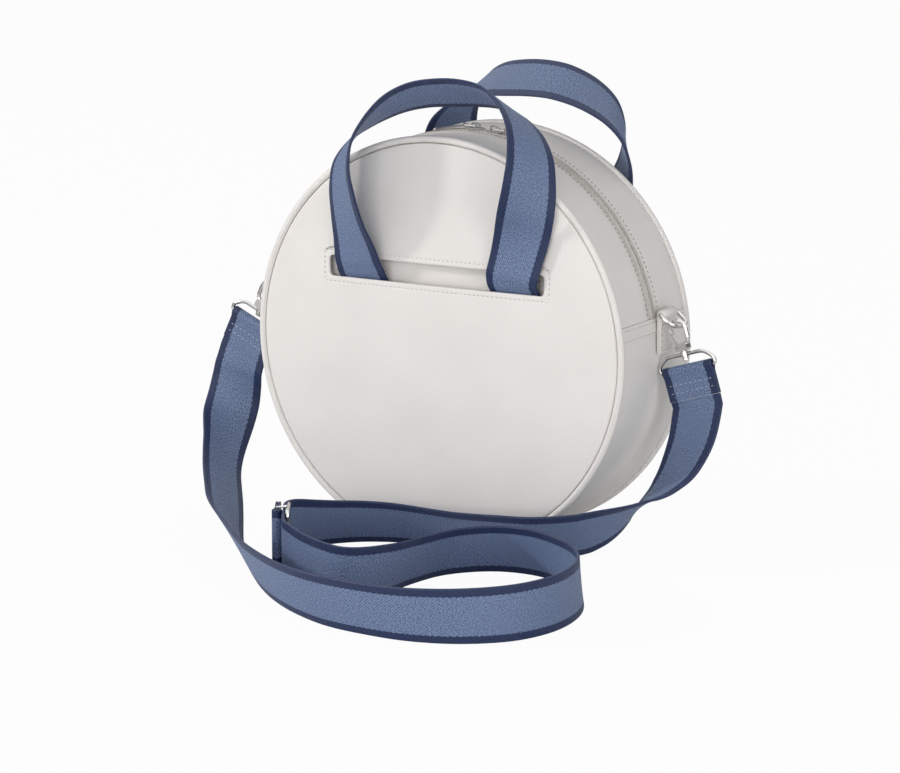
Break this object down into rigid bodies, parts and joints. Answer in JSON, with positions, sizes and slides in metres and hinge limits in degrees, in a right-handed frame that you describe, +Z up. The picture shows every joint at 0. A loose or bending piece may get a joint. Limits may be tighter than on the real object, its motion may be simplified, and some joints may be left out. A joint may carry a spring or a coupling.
{
  "type": "travel bag",
  "caption": "Round drum-shaped leather travel bag with piped edges, zip over the top, webbing handles through slits and a clipped webbing shoulder strap",
  "frame": {"origin": "centre of the pressed flat under the bag, on the floor", "axes": "+Z up, the front with the strap faces -Y, +X to the right seen from the front"},
  "size_m": [0.4156, 0.3954, 0.3389],
  "materials": {
    "leather": "smooth warm-grey leather",
    "piping": "smooth grey leather piping",
    "webbing": "ribbed blue webbing with navy edges",
    "zip_tape": "grey woven tape with tone-on-tone teeth",
    "metal": "polished nickel",
    "board": "plain stiffener board"
  },
  "bodies": {
    "bag": {"front_panel_lower": "leather", "front_piping_lower": "piping", "back_panel": "leather", "back_piping": "piping", "back_pocket": "leather", "base_band": "leather", "base_board": "board", "rear_gusset_upper": "leather", "rear_zip_tape": "zip_tape", "back_handle_left_root": "webbing", "back_handle_right_root": "webbing", "left_side_tab": "leather", "right_side_tab": "leather", "shoulder_webbing": "webbing", "left_strap_end": "webbing", "right_strap_end": "webbing", "left_swivel_loop": "metal", "right_swivel_loop": "metal"},
    "front_flap": {"front_panel_upper": "leather", "front_piping_upper": "piping", "front_gusset_upper": "leather", "front_zip_tape": "zip_tape", "front_pocket": "leather", "front_handle_left_root": "webbing", "front_handle_right_root": "webbing"},
    "left_slider": {"left_slider": "metal"},
    "left_slider_ring": {"left_slider_ring": "metal"},
    "left_pull": {"left_pull": "metal"},
    "right_slider": {"right_slider": "metal"},
    "right_slider_ring": {"right_slider_ring": "metal"},
    "right_pull": {"right_pull": "metal"},
    "front_handle": {"front_handle": "webbing"},
    "back_handle": {"back_handle": "webbing"},
    "left_d_ring": {"left_d_ring": "metal"},
    "left_hook": {"left_hook": "metal", "left_gate_pin": "metal"},
    "left_gate": {"left_gate": "metal"},
    "right_d_ring": {"right_d_ring": "metal"},
    "right_hook": {"right_hook": "metal", "right_gate_pin": "metal"},
    "right_gate": {"right_gate": "metal"},
    "adjuster": {"adjuster_frame": "metal", "strap_tail": "webbing"}
  },
  "joints": [
    {"name": "front_flap_bend", "type": "hinge", "parent": "bag", "child": "front_flap", "pos_m": [0, -0.0555, 0.17], "axis": [1, 0, 0], "range_deg": [0, 25]},
    {"name": "left_slider_travel", "type": "hinge", "parent": "front_flap", "child": "left_slider", "pos_m": [0, 0, 0.145], "axis": [0, -1, 0], "range_deg": [0, 62]},
    {"name": "left_ring_swing", "type": "hinge", "parent": "left_slider", "child": "left_slider_ring", "pos_m": [0.00229, 0, 0.29648], "axis": [0, 1, 0], "range_deg": [0, 60]},
    {"name": "left_pull_swing", "type": "hinge", "parent": "left_slider_ring", "child": "left_pull", "pos_m": [-0.00601, 0, 0.29661], "axis": [0, 1, 0], "range_deg": [0, 40]},
    {"name": "right_slider_travel", "type": "hinge", "parent": "front_flap", "child": "right_slider", "pos_m": [0, 0, 0.145], "axis": [0, 1, 0], "range_deg": [0, 56]},
    {"name": "right_ring_swing", "type": "hinge", "parent": "right_slider", "child": "right_slider_ring", "pos_m": [0.01807, 0, 0.29542], "axis": [0, -1, 0], "range_deg": [0, 60]},
    {"name": "right_pull_swing", "type": "hinge", "parent": "right_slider_ring", "child": "right_pull", "pos_m": [0.02631, 0, 0.29443], "axis": [0, -1, 0], "range_deg": [0, 40]},
    {"name": "front_handle_fold", "type": "hinge", "parent": "front_flap", "child": "front_handle", "pos_m": [0, -0.0572, 0.196], "axis": [1, 0, 0], "range_deg": [-3, 120]},
    {"name": "back_handle_fold", "type": "hinge", "parent": "bag", "child": "back_handle", "pos_m": [0, 0.0572, 0.196], "axis": [-1, 0, 0], "range_deg": [-3, 120]},
    {"name": "left_d_ring_swing", "type": "hinge", "parent": "bag", "child": "left_d_ring", "pos_m": [-0.1522, -0.01, 0.173], "axis": [0, -1, 0], "range_deg": [0, 8]},
    {"name": "left_hook_swivel", "type": "hinge", "parent": "bag", "child": "left_hook", "pos_m": [-0.16398, -0.016, 0.16674], "axis": [-0.4226, 0, -0.9063], "range_deg": [-15, 15]},
    {"name": "left_gate_open", "type": "hinge", "parent": "left_hook", "child": "left_gate", "pos_m": [-0.1677, -0.016, 0.15236], "axis": [0, -1, 0], "range_deg": [0, 18], "stiffness_Nm_per_rad": 0.02, "springref_deg": -11.46},
    {"name": "right_d_ring_swing", "type": "hinge", "parent": "bag", "child": "right_d_ring", "pos_m": [0.1522, 0.01, 0.173], "axis": [0, 1, 0], "range_deg": [0, 8]},
    {"name": "right_hook_swivel", "type": "hinge", "parent": "bag", "child": "right_hook", "pos_m": [0.16313, 0.004, 0.16535], "axis": [0.2924, 0, -0.9563], "range_deg": [-15, 15]},
    {"name": "right_gate_open", "type": "hinge", "parent": "right_hook", "child": "right_gate", "pos_m": [0.16481, 0.004, 0.1506], "axis": [0, 1, 0], "range_deg": [0, 18], "stiffness_Nm_per_rad": 0.02, "springref_deg": -11.46},
    {"name": "adjuster_slide", "type": "slide", "parent": "bag", "child": "adjuster", "axis": [-0.5051, 0.8631, 0], "range_m": [-0.003, 0.003]}
  ]
}
